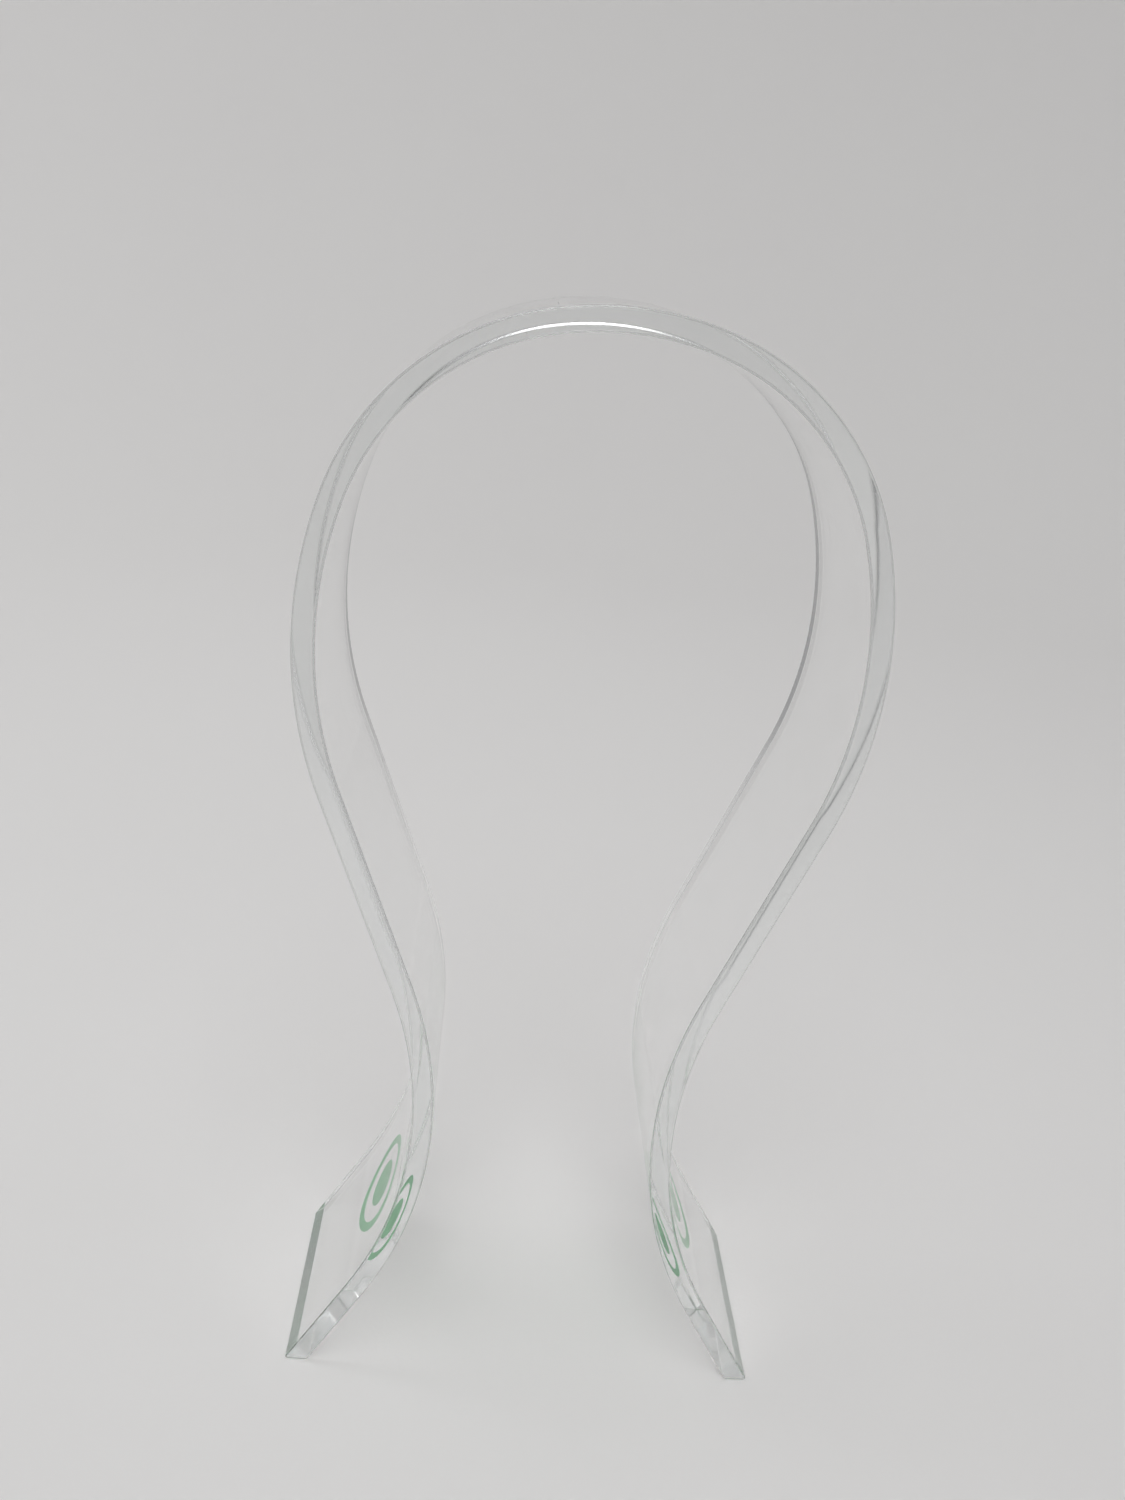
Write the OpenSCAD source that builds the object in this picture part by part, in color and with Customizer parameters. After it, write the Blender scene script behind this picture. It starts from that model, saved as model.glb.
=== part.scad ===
// Headphone stand, bent from one flat strip of clear acrylic.
// The strip is an open loop on two legs that meet at a neck and flare out to the floor.
// It stands on its two cut ends. A round film mark is stuck to the inner face of each foot.
// +X is the viewer's right, +Y the back and +Z up. The origin is on the floor, midway between the feet.
// A heading is the way the strip runs, in degrees down from +X: 0 at the top, 90 straight down.

/* [Overall size] */
// Height from the floor to the top of the loop
height = 248; // [206:1:300]
// Width of the loop at its widest, from outer face to outer face
loop_w = 117.8; // [98:0.2:142]

/* [Strip] */
// Width of the strip, from its front edge to its back edge
strip_w = 51; // [30:1:90]
// Thickness of the strip
strip_t = 4.75; // [3:0.25:8]

/* [Loop] */
// Radius of the crown, at the middle of the thickness
crown_r = 63; // [45:1:120]
// Angle that each half of the crown turns through
crown_turn = 14; // [4:1:30]
// Angle that each shoulder turns through
shoulder_turn = 57.5; // [44:0.5:70]
// Radius of each flank, at the middle of the thickness
flank_r = 90; // [60:1:150]

/* [Legs] */
// Clear gap between the legs at the neck
neck_gap = 50; // [36:1:62]
// Angle by which the legs lean in below the loop, from upright
leg_lean = 21; // [18:0.5:26]

/* [Feet] */
// Angle by which the feet splay out at the floor, from upright
foot_splay = 31; // [10:1:40]
// Length of the flat end of each foot, at the middle of the thickness
foot_len = 25; // [5:1:40]

/* [Foot marks] */
// Diameter of the round mark on each foot
mark_d = 25.4; // [16:0.2:30]
// Distance up the inner face from the floor to the middle of each mark
mark_up = 36; // [18:1:60]
// Width of the ring round the edge of the mark
mark_ring_w = 2.4; // [0.6:0.2:4]
// Diameter of the disc in the middle of the mark
mark_disc_d = 12; // [2:0.5:14]
// Thickness of the film that the mark is cut from
mark_t = 0.2; // [0.1:0.05:0.5]

/* [Hidden] */

// Round posts are drawn with this many sides
$fn = 180;
// The bends are drawn in facets that turn through no more than this angle
facet_turn = 2;

half_t = strip_t / 2;

// Headings at which one stretch of the strip ends and the next begins
shoulder_end = crown_turn + shoulder_turn;
leg_heading = 90 + leg_lean;
foot_heading = 90 - foot_splay;

// The way out of the loop from a stretch with this heading
function outward(heading) = [sin(heading), cos(heading)];
// The way the strip runs, from the crown towards the floor
function along(heading) = [cos(heading), -sin(heading)];

// The shoulder takes the radius that brings the loop to its full width
shoulder_r = (loop_w / 2 - half_t - crown_r * sin(crown_turn) - flank_r * (1 - sin(shoulder_end)))
    / (sin(shoulder_end) - sin(crown_turn));

// Centres of the loop's bends and the end of the loop, as [x, z]
crown_c = [0, height - half_t - crown_r];
shoulder_c = crown_c + (crown_r - shoulder_r) * outward(crown_turn);
flank_c = shoulder_c + (shoulder_r - flank_r) * outward(shoulder_end);
leg_top = flank_c + flank_r * outward(leg_heading);

// The leg's straight and the flare's radius take up what is left, inward to the neck
// and down to the flat end of the foot
in_run = leg_top.x - neck_gap / 2 - half_t;
down_run = leg_top.y - foot_len * cos(foot_splay);
flare_r = (down_run - in_run / tan(leg_lean))
    / (sin(leg_lean) + sin(foot_splay) - (1 - cos(leg_lean)) / tan(leg_lean));
leg_len = (in_run - flare_r * (1 - cos(leg_lean))) / sin(leg_lean);
flare_c = leg_top + leg_len * along(leg_heading) + flare_r * outward(leg_heading);

// The middle of the right-hand mark: how far it lies past the flat end of the foot,
// the heading there and its place on the inner face
past_flat = mark_up - foot_len + half_t * tan(foot_splay);
flare_in_r = flare_r + half_t;
mark_heading = foot_heading + max(past_flat, 0) / flare_in_r * 180 / PI;
mark_c = flare_c - flare_in_r * outward(mark_heading) - min(past_flat, 0) * along(foot_heading);

// Points round a bend of radius r, past its first end. A bend about a centre outside
// the loop has a negative radius.
function bend(centre, r, from, to) =
    let (facets = ceil(abs(to - from) / facet_turn))
    [for (i = [1 : facets]) centre + r * outward(from + (to - from) * i / facets)];

// The right half of a line that runs this far outside the middle of the thickness,
// from the middle of the crown to the floor
function half_line(offset) =
    let (
        crown = bend(crown_c, crown_r + offset, 0, crown_turn),
        shoulder = bend(shoulder_c, shoulder_r + offset, crown_turn, shoulder_end),
        flank = bend(flank_c, flank_r + offset, shoulder_end, leg_heading),
        flare_top = flare_c + (offset - flare_r) * outward(leg_heading),
        flare = bend(flare_c, offset - flare_r, leg_heading, foot_heading),
        foot_top = flare[len(flare) - 1],
        floor_point = [foot_top.x + foot_top.y * tan(foot_splay), 0]
    )
    concat(crown, shoulder, flank, [flare_top], flare, [floor_point]);

function reversed(points) = [for (i = [len(points) - 1 : -1 : 0]) points[i]];

// The same line in full, from the left foot over the crown to the right foot
function full_line(offset) =
    let (right = half_line(offset), left = [for (p = reversed(right)) [-p.x, p.y]])
    concat(left, [[0, height - half_t + offset]], right);

// An upright outline in [x, z], drawn out to a width along Y about the middle
module upright(points, width) {
    translate([0, width / 2, 0])
        rotate([90, 0, 0])
            linear_extrude(width)
                polygon(points);
}

module bent_strip() color([0.85, 0.92, 0.90, 0.5])
    upright(concat(full_line(half_t), reversed(full_line(-half_t))), strip_w);

// The mark's outline, a ring round a disc, as posts that pass right through the curved film
module mark_posts() {
    difference() {
        cylinder(d = mark_d, h = mark_d, center = true);
        cylinder(d = mark_d - 2 * mark_ring_w, h = 2 * mark_d, center = true);
    }
    cylinder(d = mark_disc_d, h = mark_d, center = true);
}

// The right-hand mark, cut from a film that lies on the inner face of the foot
module foot_mark() color("mediumseagreen")
    intersection() {
        upright(concat(half_line(-half_t), reversed(half_line(-half_t - mark_t))), strip_w);
        translate([mark_c.x, 0, mark_c.y])
            rotate([0, mark_heading, 0])
                mark_posts();
    }

module right_mark() foot_mark();

module left_mark() mirror([1, 0, 0]) foot_mark();

bent_strip();
left_mark();
right_mark();
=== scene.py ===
"""Looks of the headphone stand: one bent strip of clear acrylic with a round film mark on each foot."""

import math

import bmesh
import bpy
import numpy as np
from mathutils import Matrix, Vector


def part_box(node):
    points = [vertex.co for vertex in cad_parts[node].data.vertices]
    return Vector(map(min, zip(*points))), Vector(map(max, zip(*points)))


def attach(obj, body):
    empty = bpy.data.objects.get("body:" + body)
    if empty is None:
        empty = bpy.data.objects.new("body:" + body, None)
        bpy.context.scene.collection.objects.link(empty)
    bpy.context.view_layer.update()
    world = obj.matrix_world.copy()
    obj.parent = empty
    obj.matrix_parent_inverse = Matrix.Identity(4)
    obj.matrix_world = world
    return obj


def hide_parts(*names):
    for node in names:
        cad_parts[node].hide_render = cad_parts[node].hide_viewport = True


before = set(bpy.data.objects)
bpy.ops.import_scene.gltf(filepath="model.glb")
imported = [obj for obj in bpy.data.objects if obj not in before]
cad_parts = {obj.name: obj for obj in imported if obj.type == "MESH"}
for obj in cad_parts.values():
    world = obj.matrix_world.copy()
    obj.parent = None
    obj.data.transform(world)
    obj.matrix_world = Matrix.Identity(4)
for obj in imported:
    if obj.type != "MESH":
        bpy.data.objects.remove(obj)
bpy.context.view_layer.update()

MM = 0.001

# Sizes of the finished surfaces, in metres
ARRIS_R = 0.50 * MM       # rounding of the strip's four long corners
ARRIS_STEPS = 6
END_CHAMFER = 0.12 * MM   # rounding of the strip's cut ends
STEP_TURN = math.radians(0.4)   # the bends are swept in steps that turn no more than this
STEP_RUN = 3.0 * MM       # and the straights in steps no longer than this
ACROSS_STEPS = 6          # quads across the width
THICK_STEPS = 2           # quads through half the thickness
FILM_IN = 0.02 * MM       # how far the film's glued face lies in the acrylic, so that the two join optically
FILM_T = 0.20 * MM        # thickness of the film
FILM_EDGE_R = 0.05 * MM   # rounding of the film's free edge
FILM_EDGE_IN = 0.3        # how far in the middle of that rounding lies, as a share of its radius
FILM_SHARP = math.radians(50)   # the film's shading breaks where its faces turn more than this
MARK_RING_W = 2.4 * MM    # width of the ring round the mark
MARK_DISC_R = 6.0 * MM    # radius of the disc in its middle
MARK_RING_ROWS = 4        # quads across the ring
MARK_DISC_ROWS = 8        # quads from the disc's middle to its rim
MARK_TURNS = 128          # points round each circle of a mark
WELD = 0.0005 * MM        # points of a mark nearer than this are one point

# Tolerances on the CAD outline
ON_FLAT = 0.01 * MM       # a point nearer than this to a flat face lies on it
SAME_DIGITS = 4           # points that agree to this many digits of a millimetre are one point
NO_TURN = 1e-4            # a facet that turns less than this, in radians, is part of a straight
STEP_SLACK = 1e-3         # a turn that exceeds a whole number of steps by less than this takes no more

# The studio
COVE_FLOOR_R = 0.85       # radius of the cove's flat floor
COVE_BEND_R = 0.65        # radius of the curve from floor to wall
COVE_TOP = 1.5            # height of its rim
COVE_DROP = 0.1 * MM      # the floor's clearance below the stand, so that their faces don't coincide
COVE_TURNS = 96           # quads round it
COVE_FLOOR_STEPS = 7      # rings of faces from the floor's middle to the curve
COVE_BEND_STEPS = 24      # and from there to the wall
PALE_FROM = (-0.50, -0.24)      # from front to back, where the cove's grey front turns into its pale floor
PALE_PAINT = ((0.80, 0.79, 0.785, 1), (0.815, 0.81, 0.80, 1))   # clouded from the first to the second
FRONT_PAINTED_SHADE = (0.30, 0.30, 0.305, 1)
PAINT_CLOUDS = 3.0        # clouds per metre
PAINT_GRAIN = 900.0       # grains per metre
PAINT_GRAIN_H = 0.03 * MM
CEILING = (0.60, 0.60, 0.605, 1)   # the even white light from above the cove's rim
SOFT_LIGHTS = (           # name, place, the point it faces, diameter, power in watts
    ("overhead_softbox", (-0.1, -0.75, 1.42), (-0.1, -0.45, 0), 0.9, 7.4),
    ("wall_wash", (-0.7, 0.2, 1.3), (-0.4, 1.3, 0.5), 0.6, 3.0),
)

# Clear acrylic
ACRYLIC_IOR = 1.49
ACRYLIC_COLOUR = (0.925, 0.955, 0.948, 1)   # what the sheet lets through, and how strongly it takes the rest
ACRYLIC_DENSITY = 9.0
CLEAN_TINT = (1.0, 1.0, 1.0, 1)
SMUDGE_TINT = (0.965, 0.97, 0.965, 1)
CORNER_PAINTED_SHADE = (0.72, 0.73, 0.725, 1)        # painted shade on the long corners: a grey for the dark lines that they mirror
FACE_ROUGH = 0.012        # roughness of the clean faces
SMUDGE_ROUGH = 0.035      # what each of these adds to it
SCRATCH_ROUGH = 0.18
EDGE_ROUGH = (0.03, 0.06)       # between the polishing lines and on them
CORNER_ROUGH = 0.15
CUT_ROUGH = (0.10, 0.22)        # roughness of the cut ends, between the saw lines and on them
WAVE_H = 0.008 * MM       # heights of the relief
POLISH_H = 0.0002 * MM
SAW_H = 0.003 * MM
SCRATCH_H = -0.0012 * MM
WORN_REACH = (45 * MM, 95 * MM)   # how far from the crown's middle the headband's wear is full, and ends
LIGHT_WEAR = 0.35         # scratches away from the crown, as a share of those on it
SMUDGE_SHARE = 0.6        # how full the hazy smudges are
TIPS_SHARE = 0.6          # and how full the fingertip patches are next to them

# Its patterns, in cells per metre of the flat sheet: along, across and through it where there are three
HAZE = 55.0
FINGERTIPS = (120, 90, 90)
LONG_HAIRS = (45, 2600, 400)
CROSS_HAIRS = (2100, 60, 400)
POLISH_LINES = (30, 300, 5200)
SAW_LINES = (10, 4200, 900)
BEND_WAVES = (14, 12, 12)

# Green film, its patterns too in cells per metre
FILM_IOR = 1.46
INK = ((0.25, 0.64, 0.35, 1), (0.31, 0.70, 0.41, 1))   # thin and thick
INK_PINHOLE = (0.62, 0.74, 0.62, 1)
PINHOLE_SHARE = 0.5       # how far a pinhole takes the ink's colour to that
FILM_ROUGH = (0.36, 0.52)
FILM_GRAIN_H = 0.008 * MM
INK_CLOUDS = 260.0
FILM_GRAIN = 4200.0
PINHOLES = 2300.0

# The camera, at the photograph's viewing angle
CAMERA_AT = Vector((-0.02023, -0.26669, 0.25457))
CAMERA_YAW = math.radians(-3.78)
CAMERA_PITCH = math.radians(20.75)   # down from level
CAMERA_ROLL = math.radians(5.76)
CAMERA_LENS = 30.92       # focal length in mm, on Blender's 36 mm sensor
CAMERA_NEAR = 0.01


# ---------------------------------------------------------------- camera

def make_camera():
    forward = Vector((-math.sin(CAMERA_YAW) * math.cos(CAMERA_PITCH),
                      math.cos(CAMERA_YAW) * math.cos(CAMERA_PITCH),
                      -math.sin(CAMERA_PITCH)))
    level = Vector((math.cos(CAMERA_YAW), math.sin(CAMERA_YAW), 0.0))
    up = level.cross(forward)
    right = math.cos(CAMERA_ROLL) * level + math.sin(CAMERA_ROLL) * up
    top = -math.sin(CAMERA_ROLL) * level + math.cos(CAMERA_ROLL) * up
    turn = Matrix((right, top, -forward)).transposed().to_4x4()
    data = bpy.data.cameras.new("camera")
    data.lens = CAMERA_LENS
    data.clip_start = CAMERA_NEAR
    camera = bpy.data.objects.new("camera", data)
    camera.matrix_world = Matrix.Translation(CAMERA_AT) @ turn
    bpy.context.scene.collection.objects.link(camera)
    bpy.context.scene.camera = camera


# ---------------------------------------------------------------- the strip's own line

def front_outline(node):
    """The points round a node's flat front face, in order, as rows of [x, z]."""
    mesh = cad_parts[node].data
    places = np.array([v.co for v in mesh.vertices])
    front = places[:, 1] < places[:, 1].min() + ON_FLAT
    names = [tuple(p) for p in np.round(places[:, [0, 2]] / MM, SAME_DIGITS)]
    edges = set()
    for face in mesh.polygons:
        corners = list(face.vertices)
        if front[corners].all():
            loop = [names[c] for c in corners]
            edges.update(zip(loop, loop[1:] + loop[:1]))
    after = {a: b for a, b in edges if (b, a) not in edges}
    line = [min(after)]
    while len(line) < len(after):
        line.append(after[line[-1]])
    return np.array(line) * MM


def floor_to_floor(points):
    """The outline's two long sides, from the left foot to the right: the outer one, then the inner one."""
    on_floor = [i for i, p in enumerate(points) if p[1] < ON_FLAT]
    sides = []
    for first, last in zip(on_floor, on_floor[1:] + [on_floor[0] + len(points)]):
        if last - first > 1:
            side = points[np.arange(first, last + 1) % len(points)]
            sides.append(side if side[0][0] < side[-1][0] else side[::-1])
    sides.sort(key=lambda side: side[:, 1].max())
    return sides[1], sides[0]


def unit(v):
    return v / np.linalg.norm(v, axis=-1, keepdims=True)


def stations():
    """The strip's cross-sections from foot to foot, as rows of outer points, inner points and ways out. Each
    facet of a bend is swept as the arc that it stands for."""
    outer, inner = floor_to_floor(front_outline("bent_strip"))
    out = unit(outer - inner)
    out[0], out[-1] = out[1], out[-2]
    turn = np.unwrap(np.arctan2(out[:, 1], out[:, 0]))
    rows = []
    for i in range(len(outer) - 1):
        swing = turn[i + 1] - turn[i]
        run = np.linalg.norm(outer[i + 1] - outer[i])
        steps = max(math.ceil(abs(swing) / STEP_TURN - STEP_SLACK), math.ceil(run / STEP_RUN))
        for s in np.arange(steps) / steps:
            if abs(swing) < NO_TURN:
                a, b = (line[i] + s * (line[i + 1] - line[i]) for line in (outer, inner))
                rows.append((a, b, out[i]))
                continue
            chord = (outer[i + 1] - outer[i]) @ unit(out[i + 1] - out[i])
            radius = chord / (2 * math.sin(abs(swing) / 2))
            centre = outer[i] - radius * out[i]
            angle = turn[i] + s * swing
            way = np.array([math.cos(angle), math.sin(angle)])
            thickness = np.linalg.norm(outer[i] - inner[i])
            rows.append((centre + radius * way, centre + (radius - thickness) * way, way))
    rows.append((outer[-1], inner[-1], out[-1]))
    return [np.array(column) for column in zip(*rows)]


# ---------------------------------------------------------------- meshes

def section(width, thickness, radius):
    """A rounded rectangle, from the front edge round, as rows of [across, depth, normal across, normal
    depth]."""
    half_w, half_t = width / 2, thickness / 2
    flat_w, flat_t = half_w - radius, half_t - radius
    rows = []

    def flat(a, b, normal, steps):
        for s in np.arange(steps) / steps:
            rows.append([*(np.array(a) + s * (np.array(b) - np.array(a))), *normal])

    def corner(x, y, start):
        for s in np.arange(ARRIS_STEPS) / ARRIS_STEPS:
            angle = math.radians(start - 90 * s)
            c, d = math.cos(angle), math.sin(angle)
            rows.append([x + radius * c, y + radius * d, c, d])

    flat((-half_w, 0), (-half_w, flat_t), (-1, 0), THICK_STEPS)
    corner(-flat_w, flat_t, 180)
    flat((-flat_w, half_t), (flat_w, half_t), (0, 1), ACROSS_STEPS)
    corner(flat_w, flat_t, 90)
    flat((half_w, flat_t), (half_w, -flat_t), (1, 0), 2 * THICK_STEPS)
    corner(flat_w, -flat_t, 0)
    flat((flat_w, -half_t), (-flat_w, -half_t), (0, -1), ACROSS_STEPS)
    corner(-flat_w, -flat_t, -90)
    flat((-half_w, -flat_t), (-half_w, 0), (-1, 0), THICK_STEPS)
    return np.array(rows)


def new_object(name, points, faces, sheet=None):
    """A smooth mesh object. sheet is where each point lies on the flat sheet before the strip was bent, as
    [along, across, depth], for the material's patterns to follow."""
    mesh = bpy.data.meshes.new(name)
    mesh.from_pydata([tuple(p) for p in points], [], faces)
    mesh.shade_smooth()
    if sheet is not None:
        attribute = mesh.attributes.new("sheet", "FLOAT_VECTOR", "POINT")
        attribute.data.foreach_set("vector", np.asarray(sheet, np.float32).ravel())
    made = bpy.data.objects.new(name, mesh)
    bpy.context.scene.collection.objects.link(made)
    return made


def make_strip(outer, inner, out):
    """The bent strip, and its width, thickness and length as a flat sheet."""
    low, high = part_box("bent_strip")
    width = high.y - low.y
    thickness = np.linalg.norm(outer[len(outer) // 2] - inner[len(inner) // 2])
    across, depth, n_across, n_depth = section(width, thickness, ARRIS_R).T
    count = len(across)
    middle = (outer + inner) / 2
    along = np.concatenate([[0], np.cumsum(np.linalg.norm(np.diff(middle, axis=0), axis=1))])

    def ring(i, shrink=0.0, lift=0.0):
        """The section at one station, drawn in by shrink and moved along the foot by lift."""
        a = across * (1 - 2 * shrink / width)
        d = depth / thickness * (1 - 2 * shrink / thickness)
        xz = middle[i] + d[:, None] * (outer[i] - inner[i]) + lift
        return np.stack([xz[:, 0], a, xz[:, 1]], 1)

    # Each end is a flat cut with a small chamfer round it
    up_left = unit(middle[1] - middle[0]) * END_CHAMFER / unit(middle[1] - middle[0])[1]
    up_right = unit(middle[-2] - middle[-1]) * END_CHAMFER / unit(middle[-2] - middle[-1])[1]
    last = len(outer) - 1
    rings = [ring(0, END_CHAMFER), ring(0, 0, up_left)]
    rings += [ring(i) for i in range(1, last)]
    rings += [ring(last, 0, up_right), ring(last, END_CHAMFER)]
    points = np.concatenate(rings)

    ways = np.concatenate([out[:1], out[:1], out[1:last], out[-1:], out[-1:]])
    lengths = np.concatenate([along[:1], along[:1] + END_CHAMFER, along[1:last],
                              along[-1:] - END_CHAMFER, along[-1:]])
    side = np.stack([n_depth[None, :] * ways[:, :1], np.broadcast_to(n_across, (len(ways), count)),
                     n_depth[None, :] * ways[:, 1:]], 2)
    sheet = np.stack([np.broadcast_to(lengths[:, None], (len(ways), count)),
                      np.broadcast_to(across, (len(ways), count)),
                      np.broadcast_to(depth, (len(ways), count))], 2)

    faces, normals = [], []
    down = np.array([0, 0, -1.0])
    last_ring = (len(rings) - 1) * count
    for r in range(len(rings) - 1):
        chamfer = r in (0, len(rings) - 2)
        here, there = r * count, (r + 1) * count
        for k in range(count):
            following = (k + 1) % count
            faces.append([here + k, there + k, there + following, here + following])
            corners = [side[r, k], side[r + 1, k], side[r + 1, following], side[r, following]]
            if chamfer:
                corners = [unit(corner + down) for corner in corners]
            normals += corners
    # The two cut ends, one face each
    faces.append(list(range(count)))
    faces.append(list(range(last_ring, last_ring + count))[::-1])
    normals += [down] * (2 * count)
    strip = new_object("acrylic_strip", points, faces, sheet.reshape(-1, 3))
    strip.data.normals_split_custom_set([tuple(n) for n in normals])
    return strip, width, thickness, along[-1]


class InnerLine:
    """The strip's inner face as a line from foot to foot, to lay flat film on by distance along it."""

    def __init__(self, points, out):
        self.points, self.out = points, out
        steps = np.linalg.norm(np.diff(self.points, axis=0), axis=1)
        self.along = np.concatenate([[0], np.cumsum(steps)])

    def length_at_height(self, height, left):
        """Distance along the line to the foot's point at this height. The line climbs all the way over the
        quarter of its points nearest each end."""
        quarter = len(self.points) // 2 // 2
        nearest = slice(quarter) if left else slice(None, -quarter - 1, -1)
        return np.interp(height, self.points[nearest, 1], self.along[nearest])

    def place(self, along, across, out):
        """Points at these distances along the line, across it and out from the face."""
        x, z, nx, nz = (np.interp(along, self.along, column)
                        for column in (*self.points.T, *self.out.T))
        return np.stack([x + out * nx, across, z + out * nz], -1)


def turned(profile, line, centre):
    """A ring or disc of film: its points on the line, the same points on the flat sheet, and its faces. Its
    radial profile, rows of [radius, out], is turned about the mark's centre, and two rows of radius 0 close a
    disc at its middle."""
    around = 2 * math.pi * np.arange(MARK_TURNS) / MARK_TURNS
    points, faces = [], []
    for radius, out in profile:
        points.append(np.stack([centre + radius * np.cos(around), radius * np.sin(around),
                                np.full(MARK_TURNS, out)], 1))
    rows = len(profile)
    for r in range(rows):
        s = (r + 1) % rows
        if profile[r][0] == 0 and profile[s][0] == 0:
            continue
        for k in range(MARK_TURNS):
            t = (k + 1) % MARK_TURNS
            faces.append([r * MARK_TURNS + k, s * MARK_TURNS + k, s * MARK_TURNS + t, r * MARK_TURNS + t])
    flat = np.concatenate(points)
    return line.place(*flat.T), flat, faces


def film_profile(inside, outside, rows):
    """The film's cut-through outline between two radii, as [radius, out], round from its glued face."""
    top, bottom = FILM_IN, FILM_IN - FILM_T
    edge, edge_in = FILM_EDGE_R, FILM_EDGE_IN * FILM_EDGE_R
    radii = np.linspace(inside, outside, rows + 1)
    profile = [[r, top] for r in radii]
    profile += [[outside, bottom + edge], [outside - edge_in, bottom + edge_in]]
    free = np.linspace(outside - edge, inside + (edge if inside else 0), rows + 1)
    profile += [[r, bottom] for r in free]
    if inside:
        profile += [[inside + edge_in, bottom + edge_in], [inside, bottom + edge]]
    return profile


def make_mark(node, line, left):
    """A ring and a disc of film on the inner face of a foot, in place of the CAD node."""
    low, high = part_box(node)
    radius = (high.y - low.y) / 2
    ends = [line.length_at_height(z, left) for z in (low.z, high.z)]
    centre = sum(ends) / 2
    points, sheet, faces = [], [], []
    for profile in (film_profile(radius - MARK_RING_W, radius, MARK_RING_ROWS),
                    film_profile(0.0, MARK_DISC_R, MARK_DISC_ROWS)):
        placed, flat, rows = turned(profile, line, centre)
        faces += [[c + sum(map(len, points)) for c in face] for face in rows]
        points.append(placed)
        sheet.append(flat)
    piece = new_object(node + "_film", np.concatenate(points), faces, np.concatenate(sheet))
    shape = bmesh.new()
    shape.from_mesh(piece.data)
    bmesh.ops.remove_doubles(shape, verts=shape.verts, dist=WELD)
    bmesh.ops.recalc_face_normals(shape, faces=shape.faces)
    shape.to_mesh(piece.data)
    shape.free()
    piece.data.set_sharp_from_angle(angle=FILM_SHARP)
    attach(piece, "root")
    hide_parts(node)
    return piece


# ---------------------------------------------------------------- stage

def cove_profile():
    """Radius and height up the inside of the round studio cove, from round its middle to its rim."""
    rows = [(r, 0.0) for r in np.linspace(0.0, COVE_FLOOR_R, COVE_FLOOR_STEPS + 1)[1:]]
    rows += [(COVE_FLOOR_R + COVE_BEND_R * math.sin(a), COVE_BEND_R * (1 - math.cos(a)))
             for a in np.linspace(0, math.pi / 2, COVE_BEND_STEPS + 1)[1:]]
    rows.append((COVE_FLOOR_R + COVE_BEND_R, COVE_TOP))
    return rows


def make_stage(material):
    """The cove: a floor that curves up into a wall all round, open at the top."""
    profile = cove_profile()
    around = [2 * math.pi * k / COVE_TURNS for k in range(COVE_TURNS)]
    points = [(0, 0, -COVE_DROP)]
    for radius, height in profile:
        points += [(radius * math.cos(a), radius * math.sin(a), height - COVE_DROP) for a in around]
    following = [(k + 1) % COVE_TURNS for k in range(COVE_TURNS)]
    faces = [(0, 1 + k, 1 + f) for k, f in enumerate(following)]
    for r in range(len(profile) - 1):
        here = 1 + r * COVE_TURNS
        above = here + COVE_TURNS
        faces += [(here + k, above + k, above + f, here + f) for k, f in enumerate(following)]
    cove = new_object("studio_cove", points, faces)
    cove.data.materials.append(material)


def soft_light(name, at, towards, size, power):
    """A round soft light, which the camera doesn't see."""
    data = bpy.data.lights.new(name, "AREA")
    data.shape = "DISK"
    data.size = size
    data.energy = power
    light = bpy.data.objects.new(name, data)
    light.location = at
    light.rotation_mode = "QUATERNION"
    light.rotation_quaternion = (Vector(towards) - Vector(at)).to_track_quat("-Z", "Y")
    light.visible_camera = False
    bpy.context.scene.collection.objects.link(light)


def make_air():
    """The even light from above the cove."""
    world = bpy.data.worlds.new("studio_air")
    world.use_nodes = True
    world.node_tree.nodes["Background"].inputs["Color"].default_value = CEILING
    bpy.context.scene.world = world


# ---------------------------------------------------------------- materials

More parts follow.
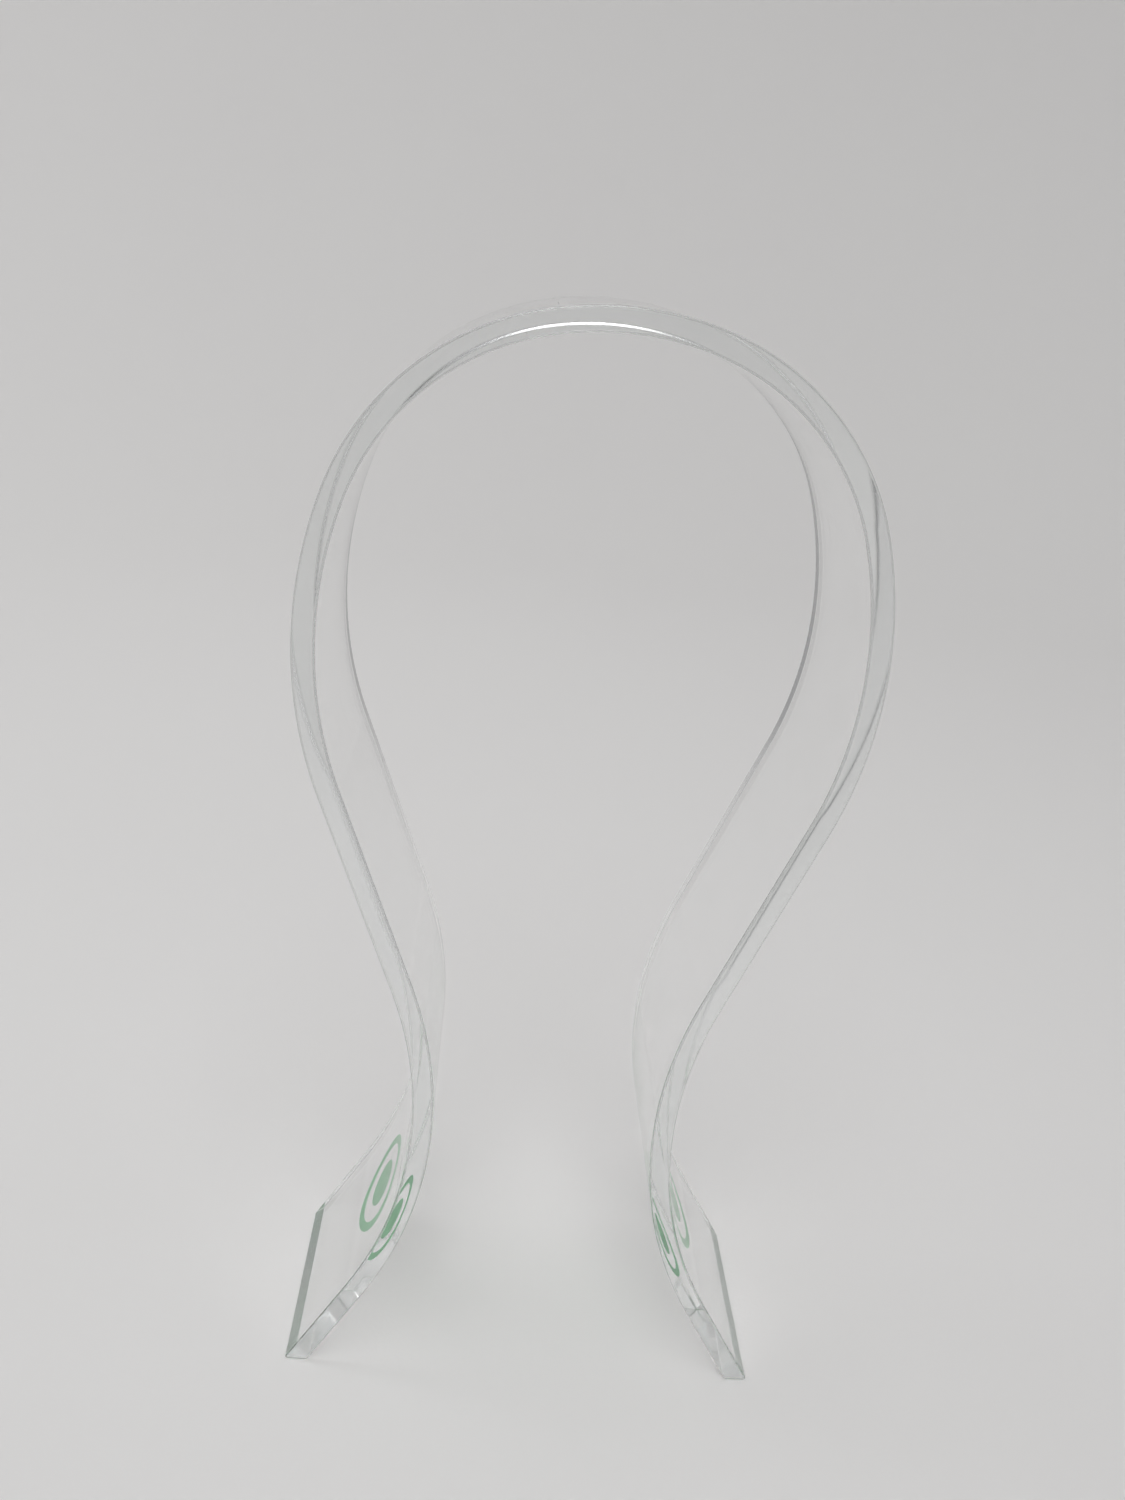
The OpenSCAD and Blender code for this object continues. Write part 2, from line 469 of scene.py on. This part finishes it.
class Nodes:
    """Short calls to build a material's node tree: each returns the socket that carries its result."""

    def __init__(self, name):
        self.material = bpy.data.materials.new(name)
        self.material.use_nodes = True
        self.tree = self.material.node_tree
        self.shader = self.tree.nodes["Principled BSDF"]

    def put(self, value, socket):
        if isinstance(value, bpy.types.NodeSocket):
            self.tree.links.new(value, socket)
        else:
            socket.default_value = value

    def set(self, **values):
        """Sets the shader's sockets, by their names with _ for a space."""
        for name, value in values.items():
            self.put(value, self.shader.inputs[name.replace("_", " ")])

    def add(self, kind, output, inputs, **properties):
        node = self.tree.nodes.new("ShaderNode" + kind)
        for name, value in properties.items():
            setattr(node, name, value)
        for name, value in inputs.items():
            self.put(value, node.inputs[name])
        return node.outputs[output]

    def math(self, operation, a, b=0.0, clamp=False):
        return self.add("Math", 0, {0: a, 1: b}, operation=operation, use_clamp=clamp)

    def ramp(self, value, low, high, to_low=0.0, to_high=1.0):
        """value taken smoothly from low..high to to_low..to_high."""
        return self.add("MapRange", 0, {0: value, 1: low, 2: high, 3: to_low, 4: to_high},
                        interpolation_type="SMOOTHSTEP")

    def sheet(self):
        """Where a point lies on the flat sheet, as [along, across, depth] in metres."""
        return self.add("Attribute", "Vector", {}, attribute_name="sheet")

    def parts(self, vector):
        node = self.tree.nodes.new("ShaderNodeSeparateXYZ")
        self.put(vector, node.inputs[0])
        return node.outputs[0], node.outputs[1], node.outputs[2]

    def scaled(self, vector, scale, turn=0.0):
        return self.add("Mapping", 0, {"Vector": vector, "Scale": scale, "Rotation": (0, 0, turn)})

    def noise(self, vector, scale=1.0, detail=3.0, roughness=0.5):
        return self.add("TexNoise", 0, {"Vector": vector, "Scale": scale, "Detail": detail,
                                        "Roughness": roughness})

    def mix(self, share, a, b):
        """Colour a turned to b by this share."""
        node = self.tree.nodes.new("ShaderNodeMix")
        node.data_type = "RGBA"
        for value, socket in ((share, node.inputs[0]), (a, node.inputs[6]), (b, node.inputs[7])):
            self.put(value, socket)
        return node.outputs[2]

    def bump(self, height, distance, before=None):
        """The normal over a height of 0..1, which stands this far out in metres at 1."""
        inputs = {"Height": height, "Distance": distance, "Strength": 1.0}
        if before is not None:
            inputs["Normal"] = before
        return self.add("Bump", 0, inputs)


def cove_paint_and_shade():
    """Matt white paint, with painted shade on the cove's front: a grey that stands in for the shade in front
    of the stand, for clear edges to mirror and stand out by.
    """
    n = Nodes("cove_paint_and_shade")
    place = n.add("TexCoord", "Object", {})
    cloud = n.noise(place, PAINT_CLOUDS, detail=2.0)
    grain = n.noise(place, PAINT_GRAIN, detail=2.0)
    behind = n.ramp(n.parts(place)[1], *PALE_FROM)
    # The grey front is painted shade, standing in for the shade in front of the stand
    n.set(Base_Color=n.mix(behind, FRONT_PAINTED_SHADE, n.mix(cloud, *PALE_PAINT)),
          Roughness=0.85, Normal=n.bump(grain, PAINT_GRAIN_H))
    return n.material


def clear_acrylic(width, thickness, length):
    """Polished clear sheet: faint hazy smudges and hairline scratches on its faces, polishing lines along its
    long edges, rougher long corners with a grey painted shade on them, and a satin saw cut at each end."""
    n = Nodes("clear_acrylic")
    sheet = n.sheet()
    along, across, depth = n.parts(sheet)

    # Where on the strip: 1 on a long edge, a long corner, a cut end, and the crown where a headband rests
    beyond_face = n.math("SUBTRACT", n.math("ABSOLUTE", across), width / 2 - ARRIS_R)
    beyond_edge = n.math("SUBTRACT", n.math("ABSOLUTE", depth), thickness / 2 - ARRIS_R)
    edge = n.ramp(beyond_face, low=0.0, high=0.8 * ARRIS_R)
    corner = n.ramp(n.math("MINIMUM", beyond_face, beyond_edge), low=0.0, high=0.2 * ARRIS_R)
    from_end = n.math("MINIMUM", along, n.math("SUBTRACT", length, along))
    cut = n.ramp(from_end, END_CHAMFER, 2 * END_CHAMFER, to_low=1.0, to_high=0.0)
    from_middle = n.math("ABSOLUTE", n.math("SUBTRACT", along, length / 2))
    crown = n.ramp(from_middle, *WORN_REACH, to_low=1.0, to_high=0.0)

    # Hazy smudges from handling, a few centimetres across with soft fingertip-sized patches in them
    patches = n.ramp(n.noise(sheet, HAZE, detail=3.0, roughness=0.6), low=0.50, high=0.72)
    prints = n.noise(n.scaled(sheet, FINGERTIPS, turn=0.5), detail=4.0, roughness=0.65)
    tips = n.math("MULTIPLY", n.ramp(prints, low=0.55, high=0.75), TIPS_SHARE)
    smudge = n.math("MULTIPLY", n.math("ADD", patches, tips), SMUDGE_SHARE, clamp=True)

    # Hairline scratches: two sets of long thin streaks, more of them on the crown
    streaks = n.noise(n.scaled(sheet, LONG_HAIRS, turn=0.12), detail=2.0, roughness=0.4)
    crossing = n.noise(n.scaled(sheet, CROSS_HAIRS, turn=0.35), detail=2.0, roughness=0.4)
    wear = n.math("ADD", n.math("MULTIPLY", crown, 1 - LIGHT_WEAR), LIGHT_WEAR)
    hairs = n.math("ADD", n.ramp(streaks, low=0.66, high=0.74),
                   n.math("MULTIPLY", n.ramp(crossing, low=0.67, high=0.75), crown))
    off_edge = n.math("SUBTRACT", 1.0, edge)
    scratch = n.math("MULTIPLY", n.math("MULTIPLY", hairs, wear), off_edge, clamp=True)

    # Polishing lines run along the long edges, saw lines stand across the cut ends
    polish = n.noise(n.scaled(sheet, POLISH_LINES), detail=3.0, roughness=0.6)
    saw = n.noise(n.scaled(sheet, SAW_LINES, turn=0.08), detail=2.0, roughness=0.5)

    face_rough = n.math("ADD", n.math("MULTIPLY", smudge, SMUDGE_ROUGH),
                        n.math("MULTIPLY", scratch, SCRATCH_ROUGH))
    edge_rough = n.math("ADD", n.math("MULTIPLY", edge, n.ramp(polish, 0.35, 0.7, *EDGE_ROUGH)),
                        n.math("MULTIPLY", corner, CORNER_ROUGH))
    polished_rough = n.math("ADD", n.math("ADD", face_rough, edge_rough), FACE_ROUGH)
    cut_rough = n.math("MULTIPLY", cut, n.ramp(saw, 0.3, 0.7, *CUT_ROUGH))
    off_cut = n.math("SUBTRACT", 1.0, cut)
    rough = n.math("ADD", n.math("MULTIPLY", polished_rough, off_cut), cut_rough)

    # The bends are not optically flat: a slow wave in the surface, then the fine marks over it
    wave = n.bump(n.noise(n.scaled(sheet, BEND_WAVES), detail=1.0), WAVE_H)
    lines = n.bump(n.math("MULTIPLY", polish, edge), POLISH_H, wave)
    cuts = n.bump(n.math("MULTIPLY", saw, cut), SAW_H, lines)
    grooves = n.bump(scratch, SCRATCH_H, cuts)

    # The grey on the long corners is painted shade, for the dark lines that they mirror
    n.set(Base_Color=n.mix(corner, n.mix(smudge, CLEAN_TINT, SMUDGE_TINT), CORNER_PAINTED_SHADE),
          Roughness=rough, Normal=grooves, IOR=ACRYLIC_IOR, Transmission_Weight=1.0)
    inside = n.add("VolumeAbsorption", 0, {"Color": ACRYLIC_COLOUR, "Density": ACRYLIC_DENSITY})
    n.put(inside, n.tree.nodes["Material Output"].inputs["Volume"])
    return n.material


def green_film():
    """Printed film: ink that lies a little unevenly on it, with a fine satin grain."""
    n = Nodes("green_film")
    sheet = n.sheet()
    cloud = n.noise(sheet, INK_CLOUDS, detail=3.0, roughness=0.6)
    grain = n.noise(sheet, FILM_GRAIN, detail=2.0, roughness=0.6)
    pinholes = n.ramp(n.noise(sheet, PINHOLES, detail=1.0), low=0.70, high=0.78)
    ink = n.mix(n.ramp(cloud, low=0.3, high=0.7), *INK)
    speckled = n.mix(n.math("MULTIPLY", pinholes, PINHOLE_SHARE), ink, INK_PINHOLE)
    n.set(Base_Color=speckled, Roughness=n.ramp(grain, 0.3, 0.7, *FILM_ROUGH),
          Normal=n.bump(grain, FILM_GRAIN_H), IOR=FILM_IOR)
    return n.material


# ---------------------------------------------------------------- build

scene = bpy.context.scene
scene.view_settings.view_transform = "Standard"
# Light that enters an edge of the sheet is turned back many times before it leaves
scene.cycles.max_bounces = 40
scene.cycles.glossy_bounces = 32
scene.cycles.transmission_bounces = 32
# and its light on the floor is lost if the sheet is blurred for paths that come from there
scene.cycles.blur_glossy = 0.0
make_camera()
make_stage(cove_paint_and_shade())
for light_row in SOFT_LIGHTS:
    soft_light(*light_row)
make_air()

outer_side, inner_side, ways_out = stations()
strip, *strip_size = make_strip(outer_side, inner_side, ways_out)
strip.data.materials.append(clear_acrylic(*strip_size))
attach(strip, "root")
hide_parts("bent_strip")

film = green_film()
inner_line = InnerLine(inner_side, ways_out)
for mark_node, is_left in (("left_mark", True), ("right_mark", False)):
    mark = make_mark(mark_node, inner_line, is_left)
    mark.data.materials.append(film)
